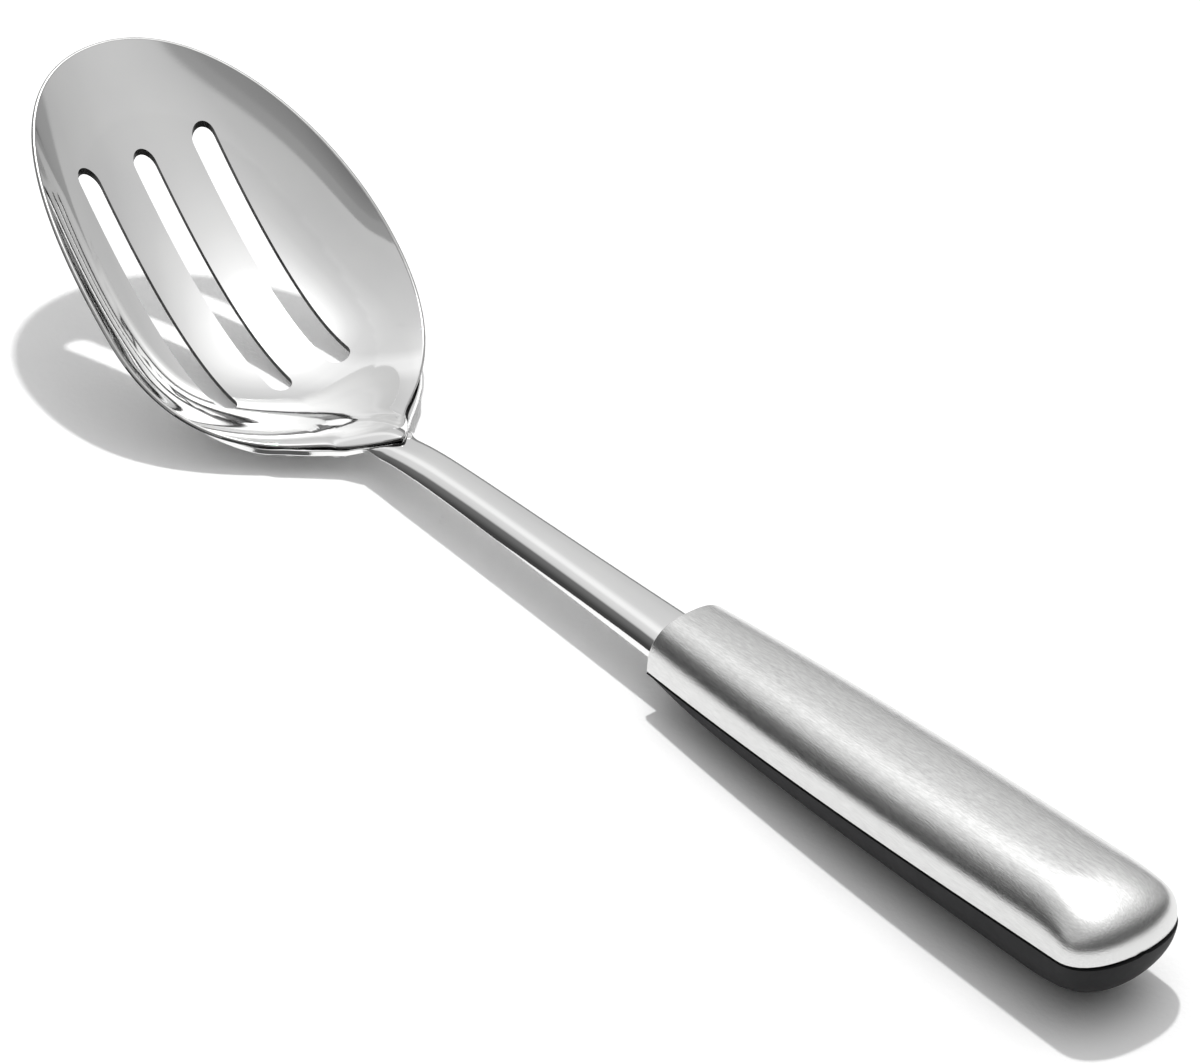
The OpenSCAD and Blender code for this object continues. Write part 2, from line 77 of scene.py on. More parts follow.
# Rim of the bowl, on the +Y side, in three spans
RIM_FALL, WAIST_FALL, WAIST_ANGLE = 0.76, 0.036, math.radians(22)
TIP_FLAT, TONGUE_FLAT = 0.75, 0.25
FRONT_REACH = 0.375 * WIDEST_X
REAR_SPAN = WAIST_X - WIDEST_X
REAR_REACH = 0.66 * REAR_SPAN
WAIST_REACH = 0.136 * REAR_SPAN
TONGUE_REACH = 0.154 * (BOWL_L - WAIST_X)
HALF_W = BOWL_W / 2
WAIST_DIR = np.array([math.cos(WAIST_ANGLE), -math.sin(WAIST_ANGLE), -WAIST_FALL])
WAIST_PT = np.array([WAIST_X, TONGUE_W / 2, RIM_WAIST_H])
WIDEST_PT = np.array([WIDEST_X, HALF_W, RIM_MID_H])
TIP_SPAN = [[0, 0, RIM_TIP_H], [0, TIP_FLAT * HALF_W, RIM_TIP_H],
            WIDEST_PT + [-FRONT_REACH, 0, RIM_FALL * FRONT_REACH], WIDEST_PT]
REAR_BEND = [WIDEST_PT, WIDEST_PT + [REAR_REACH, 0, -RIM_FALL * REAR_REACH],
             WAIST_PT - WAIST_REACH * WAIST_DIR, WAIST_PT]
TONGUE_SPAN = [WAIST_PT, WAIST_PT + TONGUE_REACH * WAIST_DIR,
               [BOWL_L, TONGUE_FLAT * TONGUE_W / 2, TONGUE_H], [BOWL_L, 0, TONGUE_H]]


def half_rim(front_n, rear_n, tongue_n):
    """Points of the rim from its tip to the tongue's end, with so many in each span."""
    parts = [bezier(TIP_SPAN, np.arange(front_n) / front_n),
             bezier(REAR_BEND, np.arange(rear_n) / rear_n),
             bezier(TONGUE_SPAN, np.arange(tongue_n + 1) / tongue_n)]
    return np.concatenate(parts) + [TIP_X, 0, 0]


FINE_N, FINE_TONGUE_N = 400, 240
FINE_RIM = half_rim(FINE_N, FINE_N, FINE_TONGUE_N)
REAR_RIM = FINE_RIM[FINE_N:]


# The bowl's hollow, in directions round its lowest point: 0 degrees is the tongue
def angle_of(x, y):
    return np.degrees(np.abs(np.arctan2(y, x - BELLY[0])))


def reach_of(x, y):
    return np.hypot(x - BELLY[0], y)


TABLE_A = angle_of(FINE_RIM[::-1, 0], FINE_RIM[::-1, 1])
TABLE_R = reach_of(FINE_RIM[::-1, 0], FINE_RIM[::-1, 1])
TABLE_H = FINE_RIM[::-1, 2]
HOLLOW_ROUND, WALL_POWER = 0.87, 5
# The wall's share in each direction, as parts of cosines of 0, 1, 2 and 3 turns
WALL_PARTS = (-0.08, -0.54, -0.28, 0.235)


def wall(a):
    """Share of the height that is a late, steep rise, in the direction a."""
    return sum(part * np.cos(k * np.radians(a)) for k, part in enumerate(WALL_PARTS))


def hollow(r):
    """The plain part of the rise, round at the belly."""
    return np.sqrt(r * r + HOLLOW_ROUND * HOLLOW_ROUND) - HOLLOW_ROUND


def rise(r, a):
    """Share of the rim's height at the share r of its reach, in the direction a."""
    return (1 - wall(a)) * hollow(r) / hollow(1.0) + wall(a) * r ** WALL_POWER


def bowl_z(x, y):
    """Height of the bowl's upper face."""
    a = angle_of(x, y)
    r = np.minimum(1, reach_of(x, y) / np.interp(a, TABLE_A, TABLE_R))
    return BELLY[2] + (np.interp(a, TABLE_A, TABLE_H) - BELLY[2]) * rise(r, a)


SMOOTH_SHARE, SMOOTH_MOST = 0.45, 5.0
DISC_RINGS = ((0.5, 8), (1.0, 12))
DISC = np.array([[0.0, 0.0]] + [[r * math.cos(a), r * math.sin(a)] for r, k in DISC_RINGS
                                for a in np.linspace(0, 2 * math.pi, k, endpoint=False)])


def smooth_z(x, y, room):
    """Mean height over a small disc, which keeps the rim's bends out of the hollow."""
    return np.mean([bowl_z(x + room * dx, y + room * dy) for dx, dy in DISC], axis=0)


def unit(v):
    return v / np.maximum(np.linalg.norm(v, axis=-1, keepdims=True), 1e-12)


def bowl_normal(x, y, step=0.2):
    return unit(np.stack([bowl_z(x - step, y) - bowl_z(x + step, y),
                          bowl_z(x, y - step) - bowl_z(x, y + step),
                          np.full(np.shape(x), 2 * step)], -1))


# Meshes
def new_object(name, verts, faces, normals=None, smooth=True):
    """verts in millimetres; normals, one for each vertex, are kept as the mesh's own."""
    me = bpy.data.meshes.new(name)
    me.from_pydata([tuple(v) for v in np.asarray(verts) * MM], [], [tuple(f) for f in faces])
    me.validate()
    ob = bpy.data.objects.new(name, me)
    bpy.context.scene.collection.objects.link(ob)
    for p in me.polygons:
        p.use_smooth = smooth
    if normals is not None:
        me.normals_split_custom_set_from_vertices([tuple(n) for n in normals])
    return ob


def ring_quads(rings, n):
    """Faces between closed rings of n points each."""
    return [(i * n + j, i * n + (j + 1) % n, (i + 1) * n + (j + 1) % n, (i + 1) * n + j)
            for i in range(rings - 1) for j in range(n)]


def without_repeats(face):
    """The face without corners that fall together, or None if it has no area."""
    face = [v for k, v in enumerate(face) if v != face[k - 1]]
    return tuple(face) if len(set(face)) >= 3 else None


def fan(faces):
    """Triangles of each face, in the faces' order."""
    return [(f[0], f[k], f[k + 1]) for f in faces for k in range(1, len(f) - 1)]


def outward(verts, faces):
    """Turns all faces over if the closed mesh is inside out."""
    volume = sum(verts[a] @ np.cross(verts[b], verts[c]) for a, b, c in fan(faces))
    return faces if volume > 0 else [tuple(reversed(f)) for f in faces]


RIM_COUNTS = (64, 84, 44)
LIP_STEPS = 11
LAST_SHARE = 0.985
INNER_SHARES = np.concatenate([np.linspace(0.06, 0.8, 34), np.linspace(0.815, LAST_SHARE, 22)])


def bowl_piece():
    """The sheet from its belly out to the rim, with a rounded lip."""
    half = half_rim(*RIM_COUNTS)
    rim = np.concatenate([half, half[-2:0:-1] * [1, -1, 1]])
    n = len(rim)
    reach = reach_of(rim[:, 0], rim[:, 1])

    def inner(s):
        q = BELLY[:2] + s * (rim[:, :2] - BELLY[:2])
        room = np.minimum(SMOOTH_MOST, SMOOTH_SHARE * (1 - s) * reach)
        return np.column_stack([q, smooth_z(q[:, 0], q[:, 1], room)])

    def normals_at(s, step=0.004):
        outwards = inner(min(1.0, s + step)) - inner(s - step)
        p = inner(s)
        m = unit(np.cross(np.roll(p, -1, 0) - np.roll(p, 1, 0), outwards))
        return m * np.sign(m[:, 2:3])

    rows = np.array([inner(s) for s in INNER_SHARES])
    norm = np.array([normals_at(s) for s in INNER_SHARES])
    edge_n = normals_at(0.99)
    out_dir = unit(np.cross(np.roll(rim, -1, 0) - np.roll(rim, 1, 0), edge_n))
    out_dir *= np.sign(np.sum(out_dir * (inner(1.0) - inner(LAST_SHARE)), -1, keepdims=True))
    half_t = SHEET_T / 2
    centre = rim - half_t * edge_n - half_t * out_dir
    lip_n = np.array([math.cos(a) * edge_n + math.sin(a) * out_dir
                      for a in np.radians(np.linspace(0, 180, LIP_STEPS))])
    lip = centre + half_t * lip_n
    outer = rows - SHEET_T * norm
    rings = np.concatenate([rows[:-1], lip, outer[:-1][::-1]])
    ring_n = np.concatenate([norm[:-1], lip_n, -norm[:-1][::-1]])
    count = len(rings)
    belly = np.array([BELLY[0], 0.0, smooth_z(BELLY[0], 0.0, SMOOTH_MOST)])
    verts = np.concatenate([rings.reshape(-1, 3), [belly], [belly - [0, 0, SHEET_T]]])
    vn = np.concatenate([ring_n.reshape(-1, 3), [[0, 0, 1]], [[0, 0, -1]]])
    faces = ring_quads(count, n)
    top, low = len(verts) - 2, len(verts) - 1
    for j in range(n):
        k = (j + 1) % n
        faces.append((top, k, j))
        faces.append((low, (count - 1) * n + j, (count - 1) * n + k))
    return verts, outward(verts, faces), vn


# Cutters
def prism(name, low_ring, high_ring):
    """A closed solid between two rings of as many points."""
    n = len(low_ring)
    faces = ring_quads(2, n) + [tuple(range(n - 1, -1, -1)), tuple(range(n, 2 * n))]
    return new_object(name, np.concatenate([low_ring, high_ring]), faces, smooth=False)


def slot_line(y):
    """Where the slot at y has the middles of its first and its last round end."""
    start = TIP_X + SLOT_START + SLOT_W / 2 - (SLOT_LEAD if y == 0 else 0)
    return start, start + SLOT_L - SLOT_W


CUT_PAST = 3.0


def slot_cutter(y, name):
    start, end = slot_line(y)
    r = SLOT_W / 2
    turn = np.radians(np.linspace(0, 180, 33))
    pts = [(start - r * math.sin(a), y + r * math.cos(a)) for a in turn]
    pts += [(end + r * math.sin(a), y - r * math.cos(a)) for a in turn]
    low, high = ([(px, py, z) for px, py in pts] for z in (-CUT_PAST, RIM_TIP_H + CUT_PAST))
    return prism(name, low, high)


def cylinder_cutter(name, origin, axis, radius, low, high, n, stretch=1.0):
    """A cylinder along axis, from low to high past origin; stretch draws it out along X."""
    axis = unit(np.asarray(axis, float))
    upright = abs(axis[2]) > 0.999
    u = np.array([1.0, 0.0, 0.0]) if upright else unit(np.cross(axis, [0.0, 1.0, 0.0]))
    v = np.cross(axis, u)
    a = np.linspace(0, 2 * math.pi, n, endpoint=False)
    ring = np.outer(np.cos(a), u) * radius * stretch + np.outer(np.sin(a), v) * radius
    return prism(name, origin + ring + axis * low, origin + ring + axis * high)


def weigh(p, a, b, c):
    """Barycentric weights of p in the triangle a, b, c."""
    v0, v1, v2 = b - a, c - a, p - a
    d00, d01, d11 = v0 @ v0, v0 @ v1, v1 @ v1
    d20, d21 = v2 @ v0, v2 @ v1
    den = max(d00 * d11 - d01 * d01, 1e-18)
    v = (d11 * d20 - d01 * d21) / den
    w = (d00 * d21 - d01 * d20) / den
    return np.clip([1 - v - w, v, w], 0, 1)


def slot_normal(p):
    """Direction from a slot's wall towards the slot's middle line."""
    y = SLOT_PITCH * round(p[1] / SLOT_PITCH)
    start, end = slot_line(y)
    return unit(np.array([min(max(p[0], start), end) - p[0], y - p[1], 0.0]))


# The lip: the share of the rim's reach where it starts, how near the rim it ends, and the
# least upward tilt of its upper half; lip faces tilted less are painted near-black as shade
LIP_SHARE, LIP_REACH, LIP_TURN = 0.988, 1.15 * SHEET_T, 0.3


def bowl_mark(p, normal):
    """2 for a face on the rim's lip, darkened as painted shade; 1 on the lip's outer half, painted
    near-black as shade; else 0.
    """
    top = np.interp(angle_of(p[0], p[1]), TABLE_A, TABLE_R)
    if reach_of(p[0], p[1]) <= LIP_SHARE * top:
        return 0
    if np.min(np.sum((FINE_RIM - [p[0], abs(p[1]), p[2]]) ** 2, 1)) > LIP_REACH ** 2:
        return 0
    return 2 if normal[2] > LIP_TURN else 1


def boolean_cut(ob, cutters):
    """Takes the cutters out of ob's mesh and deletes them."""
    for c in cutters:
        mod = ob.modifiers.new("cut", "BOOLEAN")
        mod.operation = "DIFFERENCE"
        mod.solver = "MANIFOLD"
        mod.object = c
    dg = bpy.context.evaluated_depsgraph_get()
    me = bpy.data.meshes.new_from_object(ob.evaluated_get(dg), depsgraph=dg)
    # The cut leaves an empty material slot
    me.materials.clear()
    ob.modifiers.clear()
    old = ob.data
    ob.data = me
    bpy.data.meshes.remove(old)
    me.name = ob.name
    for c in cutters:
        data = c.data
        bpy.data.objects.remove(c)
        bpy.data.meshes.remove(data)


SAME_SKIN = 0.8


def cut(ob, cutters, verts, faces, vn, wall_normal=None, mark=None):
    """Cuts ob and gives the skin that is left the normals it had before the cuts.

    wall_normal gives the normal on a cut's wall, and mark a face's material; a face on a
    cut's wall has material 1 where mark gives none."""
    boolean_cut(ob, cutters)
    me = ob.data
    tris = fan(faces)
    tree = BVHTree.FromPolygons([Vector(v) for v in verts], tris, all_triangles=True)
    co = np.array([v.co for v in me.vertices]) / MM
    nearest = {}

    def skin_normal(vi):
        if vi not in nearest:
            _, _, fi, _ = tree.find_nearest(Vector(co[vi]))
            t = tris[fi]
            w = weigh(co[vi], verts[t[0]], verts[t[1]], verts[t[2]])
            nearest[vi] = unit(w[0] * vn[t[0]] + w[1] * vn[t[1]] + w[2] * vn[t[2]])
        return nearest[vi]

    loops = np.zeros((len(me.loops), 3))
    for p in me.polygons:
        p.use_smooth = True
        flat = np.array(p.normal)
        walls = 0
        for li in p.loop_indices:
            vi = me.loops[li].vertex_index
            m = skin_normal(vi)
            if m @ flat < SAME_SKIN:
                walls += 1
                m = wall_normal(co[vi]) if wall_normal else flat
            loops[li] = m if m @ flat > SAME_SKIN else flat
        # On the bowl, material 1 is the near-black painted shade of the slot walls and the lip's
        # outer half
        if mark:
            on_wall = int(walls == len(p.vertices))
            p.material_index = mark(np.array(p.center) / MM, flat) or on_wall
    me.normals_split_custom_set([tuple(v) for v in loops])


# Stem
ARCH_SQUARE_NECK, ARCH_SQUARE_REAR = 2.3, 2.9
EDGE_ANGLE_NECK, EDGE_ANGLE_REAR = math.radians(60), math.radians(80)
HUG_SOFT, FREE_RISE, FREE_LEAD, PADDLE_RISE_L = 0.22, 1.2, 5.0, 9.0
WING_RISE, LIP_ROOM, WING_SOFT, RIM_INSET = 0.95, 0.2, 0.3, 0.3
# Line that the wing's edge keeps below: its lowest height, where, and how fast it rises
WING_LINE_H, WING_LINE_X, WING_LINE_CURVE, WING_LINE_FREE = 5.35, TIP_X + 88.1, 0.02, 3.0
NECK_X = TONGUE_X + 1.7
FREE_X = NECK_X - FREE_LEAD
PADDLE_X = TONGUE_X - 32.3
PADDLE_FRONT_L, TANG_TURN_L, SWELL_FADE_L = 3.2, 10.0, 8.0
FLARE_LEAD, FLARE_FRONT_L, FLARE_REAR_L = 6.0, 14.0, 5.0
STEM_LEN = FRONT_X - NECK_X
FLARE_X = NECK_X - FLARE_LEAD
WIDEN_POWER = 1.5


def signed_pow(v, e):
    return np.sign(v) * np.abs(v) ** e


def soft_min(a, b, soft):
    return np.minimum(a, b) - soft * np.log1p(np.exp(-np.abs(a - b) / soft))


def clamped(v):
    return min(1, max(0, v))


def along_stem(x):
    """0 at the neck and 1 at the handle's front."""
    return (x - NECK_X) / STEM_LEN


def neck_to_rear(at_neck, at_rear, x):
    return at_neck + (at_rear - at_neck) * clamped(along_stem(x))


def strip_half(x):
    """Half of the strip's width, behind the paddle."""
    if x < FRONT_X:
        return NECK_W / 2 + (STEM_REAR_W - NECK_W) / 2 * clamped(along_stem(x)) ** WIDEN_POWER
    return STEM_REAR_W / 2 - (STEM_REAR_W - TANG_W) / 2 * (x - FRONT_X) / TANG_L


def crown(x):
    """Height of the strip's top line."""
    behind = max(0, x - TONGUE_X)
    line = CROWN_NECK_H + (CROWN_REAR_H - CROWN_NECK_H - CROWN_SWELL) * min(1, along_stem(x))
    return (line + CROWN_SWELL * (1 - math.exp(-behind / SWELL_FADE_L))
            + TANG_RISE * max(0, x - FRONT_X) / TANG_L)


def arch(x):
    """How far the strip's edges lie below its top line."""
    if x < FRONT_X:
        return neck_to_rear(ARCH_NECK, ARCH_REAR, x)
    return ARCH_REAR + (TANG_ARCH - ARCH_REAR) * clamped((x - FRONT_X) / TANG_TURN_L)


def under_bowl(x, y):
    """Highest the paddle lies: against the sheet, and rising past the rim up to the wing's line."""
    half = np.interp(x, REAR_RIM[:, 0], REAR_RIM[:, 1])
    side = np.abs(y)
    inside = np.maximum(0, soft_min(side, max(0.0, half - RIM_INSET), WING_SOFT))
    x_in = np.full(np.shape(y), min(float(x), TONGUE_X - RIM_INSET))
    past = WING_SOFT * np.log1p(np.exp((side - LIP_ROOM - half) / WING_SOFT))
    sheet = bowl_z(x_in, inside) - (SHEET_T + WELD_GAP) / bowl_normal(x_in, inside)[..., 2]
    free = sheet + WING_RISE * past + FREE_RISE * max(0.0, x - TONGUE_X)
    line = (WING_LINE_H + WING_LINE_CURVE * (x - WING_LINE_X) ** 2
            + WING_LINE_FREE * (np.maximum(0, half - side) + max(0.0, x - FLARE_X)))
    return soft_min(free, line, HUG_SOFT)


STEM_ROW_N = 160


def stem_row(x, half):
    """Top line of a cross section: an arch, or the bowl's underside where that is lower."""
    full = neck_to_rear(EDGE_ANGLE_NECK, EDGE_ANGLE_REAR, x)
    a = full * (1 - 2 * np.arange(STEM_ROW_N + 1) / STEM_ROW_N)
    e = 2 / neck_to_rear(ARCH_SQUARE_NECK, ARCH_SQUARE_REAR, x)
    y = half * signed_pow(np.sin(a) / math.sin(full), e)
    fall = (1 - np.cos(a) ** e) / (1 - math.cos(full) ** e)
    ahead = max(0, FREE_X - x) / PADDLE_RISE_L
    own = crown(x) + ahead * ahead * PADDLE_RISE_L - arch(x) * fall
    z = soft_min(own, under_bowl(x, y), HUG_SOFT) if x < NECK_X + TANG_TURN_L else own
    return np.column_stack([np.full(STEM_ROW_N + 1, x), y, z])


def resample_rows(rows, n):
    """Spreads the points of each row evenly along it."""
    out = []
    for r in rows:
        d = np.concatenate([[0], np.cumsum(np.linalg.norm(np.diff(r, axis=0), axis=1))])
        if d[-1] < 1e-6:
            out.append(np.repeat(r[:1], n + 1, 0))
            continue
        t = np.linspace(0, d[-1], n + 1)
        out.append(np.column_stack([np.interp(t, d, r[:, k]) for k in range(3)]))
    return np.array(out)


def grid_normals(g):
    """Normals of a grid of points; a row without width has those of the row before."""
    n = np.cross(np.gradient(g, axis=0), np.gradient(g, axis=1))
    size = np.linalg.norm(n, axis=-1, keepdims=True)
    n = n / np.maximum(size, 1e-12)
    for i in range(len(g)):
        if np.median(size[i]) < 1e-6:
            n[i] = n[i - 1]
    return n


def evened(n, times):
    """Normals averaged with their neighbours along the first axis, which takes out ripples."""
    for _ in range(times):
        before, after = np.roll(n, 1, 0), np.roll(n, -1, 0)
        before[0], after[-1] = n[0], n[-1]
        n = unit(before + 2 * n + after)
    return n


SKIN_TIMES, EDGE_TIMES = 3, 60
EDGE_TURNS = (0, 22.5, 45, 67.5)


def plate(grid, t, r):
    """A sheet of thickness t under a grid of points, with edges rounded by r.

    Its rows run along the piece, and the last row is one point."""
    rows, cols = grid.shape[:2]
    n = evened(grid_normals(grid), SKIN_TIMES)
    n[-1] = unit(n[-2].mean(0))
    # The border runs along the first row and both sides
    border = [(0, j) for j in range(cols)] + [(i, cols - 1) for i in range(1, rows)]
    border += [(i, 0) for i in range(rows - 2, 0, -1)]
    pts = np.array([grid[b] for b in border])
    nn = evened(np.array([n[b] for b in border]), EDGE_TIMES)
    out = unit(np.cross(unit(np.roll(pts, -1, 0) - np.roll(pts, 1, 0)), nn))
    if np.median(np.sum(out * (pts - pts.mean(0)), -1)) < 0:
        out = -out
    top = grid.copy()
    for b, o in zip(border, out):
        top[b] = grid[b] - r * o
    rings, ring_n = [], []
    for a in np.radians(EDGE_TURNS) + math.radians(22.5):
        rings.append(pts - r * out + r * math.sin(a) * out - r * (1 - math.cos(a)) * nn)
        ring_n.append(math.sin(a) * out + math.cos(a) * nn)
    for a in np.radians(EDGE_TURNS):
        rings.append(pts - r * out + r * math.cos(a) * out - (t - r + r * math.sin(a)) * nn)
        ring_n.append(math.cos(a) * out - math.sin(a) * nn)
    low = top - t * n
    verts = np.concatenate([top.reshape(-1, 3)] + rings + [low.reshape(-1, 3)])
    vn = np.concatenate([n.reshape(-1, 3)] + ring_n + [-n.reshape(-1, 3)])
    m = len(border)
    last = (rows - 1) * cols
    base_low = rows * cols + len(rings) * m

    def top_id(i, j):
        return last if i == rows - 1 else i * cols + j

    faces = []
    for i in range(rows - 1):
        for j in range(cols - 1):
            f = without_repeats([top_id(i, j), top_id(i, j + 1),
                                 top_id(i + 1, j + 1), top_id(i + 1, j)])
            if f:
                faces.append(f)
                faces.append(tuple(base_low + v for v in reversed(f)))
    ids = [top_id(i, j) for i, j in border]
    loops = [ids] + [[rows * cols + k * m + q for q in range(m)] for k in range(len(rings))]
    loops.append([base_low + v for v in ids])
    for a, b in zip(loops[:-1], loops[1:]):
        for q in range(m):
            w = (q + 1) % m
            f = without_repeats([a[w], a[q], b[q], b[w]])
            if f:
                faces.append(f)
    used = sorted({v for f in faces for v in f})
    index = {v: k for k, v in enumerate(used)}
    verts, vn = verts[used], vn[used]
    faces = [tuple(index[v] for v in f) for f in faces]
    return verts, outward(verts, faces), vn


NECK_REAR_L, PADDLE_SQUARE = 10, 3
TANG_N, STRIP_N, NECK_N, FLARE_N, FRONT_N, STEM_COLS = 14, 20, 24, 44, 12, 72
STEM_ROUND = 0.22


def stem_piece():
    """The strip from the tang's end to the paddle's rounded front."""
    xs = [FRONT_X + s * TANG_L for s in np.linspace(1, 0, TANG_N)[:-1]]
    xs += list(np.linspace(FRONT_X, NECK_X + NECK_REAR_L, STRIP_N)[:-1])
    xs += list(np.linspace(NECK_X + NECK_REAR_L, FLARE_X, NECK_N)[:-1])
    rows = [stem_row(x, strip_half(x)) for x in xs]
    flare = [[FLARE_X, NECK_W / 2], [FLARE_X - FLARE_REAR_L, NECK_W / 2],
             [PADDLE_X + FLARE_FRONT_L, PADDLE_W / 2], [PADDLE_X, PADDLE_W / 2]]
    rows += [stem_row(*p) for p in bezier(flare, np.linspace(0, 1, FLARE_N))]
    e = 2 / PADDLE_SQUARE
    for a in np.radians(np.linspace(0, 90, FRONT_N)[1:-1]):
        rows.append(stem_row(PADDLE_X - PADDLE_FRONT_L * math.sin(a) ** e,
                             PADDLE_W / 2 * math.cos(a) ** e))
    rows.append(stem_row(PADDLE_X - PADDLE_FRONT_L, 0.0))
    return plate(resample_rows(rows, STEM_COLS), STEM_T, STEM_ROUND)


# Handle
FRONT_SHARES = np.concatenate([[0, 0.004, 0.01, 0.02, 0.035, 0.055, 0.08, 0.11, 0.145],
                               np.linspace(0.18, 1, 26)[:-1]])
DOME_SHARES = np.linspace(0, 1, 8)[:-1]
TAIL_ANGLES = np.radians([0, 8, 16, 24, 32, 40, 48, 55, 62, 68, 74, 79, 83, 86.5, 90])
SHELL_END_X = TAIL_X - GRIP_LIP
WIDEST_SHARE, PLAN_POWER, TAIL_SQUARE = 0.75, 2.3, 2.2
SHELL_SQUARE, DOME_SQUARE, SHELL_ROUND = 2.6, 2.4, 0.2
GRIP_ROUND, GRIP_ROUND_SHARE, LEAST_DEPTH = 0.35, 0.4, 0.6
SHELL_ROW_N, SHELL_COLS, GRIP_ROW_N = 96, 64, 64


def stations(end):
    """Places of the cross sections, from the handle's front to its end."""
    return np.concatenate([FRONT_X + FRONT_SHARES * (DOME_X - FRONT_X),
                           DOME_X + DOME_SHARES * (ROUND_X - DOME_X),
                           ROUND_X + (end - ROUND_X) * np.sin(TAIL_ANGLES)])


def along_handle(x):
    return (x - FRONT_X) / HANDLE_L


def seam(x):
    """Height of the line between shell and grip."""
    return SEAM_FRONT_H + (SEAM_TAIL_H - SEAM_FRONT_H) * along_handle(x)


def rounded_off(x, start, end, power):
    """1 before start, 0 at end, and a quarter of a rounded square between them."""
    return max(0.0, 1 - clamped((x - start) / (end - start)) ** power) ** (1 / power)


def handle_half(x, end):
    """Half of the handle's width."""
    u = clamped(along_handle(x) / WIDEST_SHARE)
    return ((HANDLE_FRONT_W + (HANDLE_W - HANDLE_FRONT_W) * (1 - (1 - u) ** PLAN_POWER)) / 2
            * rounded_off(x, ROUND_X, end, TAIL_SQUARE))


def shell_rise(x):
    """Height of the shell's top line over the seam."""
    return ((SHELL_FRONT_H + (SHELL_REAR_H - SHELL_FRONT_H) * along_handle(x))
            * rounded_off(x, DOME_X, SHELL_END_X, DOME_SQUARE))


def underside(x):
    """Height of the grip's lowest line: a bow at the front, a slow fall, a heel."""
    bow = clamped(1 - (x - FRONT_X) / BOW_L)
    lift = clamped(1 - (x - FRONT_X) / LIFT_L)
    heel = clamped(1 - (TAIL_X - x) / HEEL_L)
    return ((SEAM_FRONT_H - GRIP_LIFT) * (1 - math.sqrt(1 - bow * bow)) + GRIP_LIFT * lift * lift
            + SEAM_TAIL_H * (1 - math.sqrt(max(0, 1 - heel * heel))))


def grip_depth(x):
    return max(LEAST_DEPTH, seam(x) - underside(x)) if x < TAIL_X else 0.0


def shell_piece():
    """The half shell: one rounded arch above the seam at each station."""
    a = np.radians(180 * np.arange(SHELL_ROW_N + 1) / SHELL_ROW_N - 90)
    e = 2 / SHELL_SQUARE
    rows = [np.column_stack([np.full(len(a), x),
                             handle_half(x, SHELL_END_X) * signed_pow(np.sin(a), e),
                             seam(x) + shell_rise(x) * np.abs(np.cos(a)) ** e])
            for x in stations(SHELL_END_X)]
    return plate(resample_rows(rows, SHELL_COLS), SHELL_T, SHELL_ROUND)


def grip_piece():
    """The soft underside. Its upper corners are eased, which leaves a thin dark seam."""
    a = np.radians(90 - 180 * np.arange(GRIP_ROW_N + 1) / GRIP_ROW_N)
    rings = []
    for x in stations(TAIL_X):
        half, deep = handle_half(x, TAIL_X), max(0, grip_depth(x) - SEAT_GAP)
        top = seam(x) - SEAT_GAP
        soft = min(GRIP_ROUND, half * GRIP_ROUND_SHARE)
        y = half * np.sin(a)
        eased = top - soft * np.clip((np.abs(y) - (half - soft)) / max(soft, 1e-6), 0, 1) ** 2
        z = np.minimum(top - deep * np.abs(np.cos(a)), eased)
        rings.append(np.column_stack([np.full(len(y), x), y, z]))
    count, cols = len(rings), len(a)
    flat = np.concatenate(rings)
    # The last ring is one point
    last = (count - 1) * cols
    faces = [without_repeats([min(v, last) for v in f]) for f in ring_quads(count, cols)]
    faces = [f for f in faces if f] + [tuple(range(cols - 1, -1, -1))]
    return flat[:last + 1], outward(flat, faces)


GRIP_SHARP = 50


def by_angle(ob, degrees):
    """Smooth skin with hard edges where two faces meet at more than this angle."""
    me = ob.data
    for p in me.polygons:
        p.use_smooth = True
    me.set_sharp_from_angle(angle=math.radians(degrees))


# Cuts in the stem: holes round the weld spots, a notch under the belly, holes for the pins
SPOTS = [(90.5, 0.0), (83.0, 7.5), (83.0, -7.5), (76.5, 18.5), (76.5, -18.5)]
NOTCH_X, NOTCH_HALF_L, NOTCH_HALF_W, NOTCH_FOOT = 63.4, 18.5, 21.0, -2.2
UP = (0, 0, 1)


def stem_cutters():
    out = []
    for k, (x, y) in enumerate(SPOTS):
        x, y = np.array(x + TIP_X), np.array(y)
        origin = np.array([float(x), float(y), float(bowl_z(x, y))])
        out.append(cylinder_cutter(f"cut_spot{k}", origin, bowl_normal(x, y),
                                   WELD_D / 2 + SPOT_GAP,
                                   -(SHEET_T + WELD_GAP + STEM_T + 1), 0.0, 40))
    out.append(cylinder_cutter("cut_notch", np.array([TIP_X + NOTCH_X, 0.0, 0.0]), UP,
                               NOTCH_HALF_W, NOTCH_FOOT, RIM_MID_H + NOTCH_FOOT, 96,
                               stretch=NOTCH_HALF_L / NOTCH_HALF_W))
    for k in (0, 1):
        x = FRONT_X + PIN_START + k * PIN_PITCH
        foot = crown(x) - STEM_T / 2 - PIN_L / 2
        out.append(cylinder_cutter(f"cut_pin{k}", np.array([x, 0.0, foot]), UP,
                                   PIN_D / 2 + SEAT_GAP, 0.0, PIN_L, 32))
    return out


# Materials
def coords(nt, scale):
    tc = nt.nodes.new("ShaderNodeTexCoord")
    mp = nt.nodes.new("ShaderNodeMapping")
    mp.inputs["Scale"].default_value = scale
    nt.links.new(tc.outputs["Object"], mp.inputs["Vector"])
    return mp.outputs[0]


def noise(nt, finer, scale, detail, rough=0.5):
    """Noise in the piece's own space, with its grain finer along some axes."""
    n = nt.nodes.new("ShaderNodeTexNoise")
    n.inputs["Scale"].default_value = scale
    n.inputs["Detail"].default_value = detail
    n.inputs["Roughness"].default_value = rough
    nt.links.new(coords(nt, finer), n.inputs["Vector"])
    return n.outputs["Fac"]


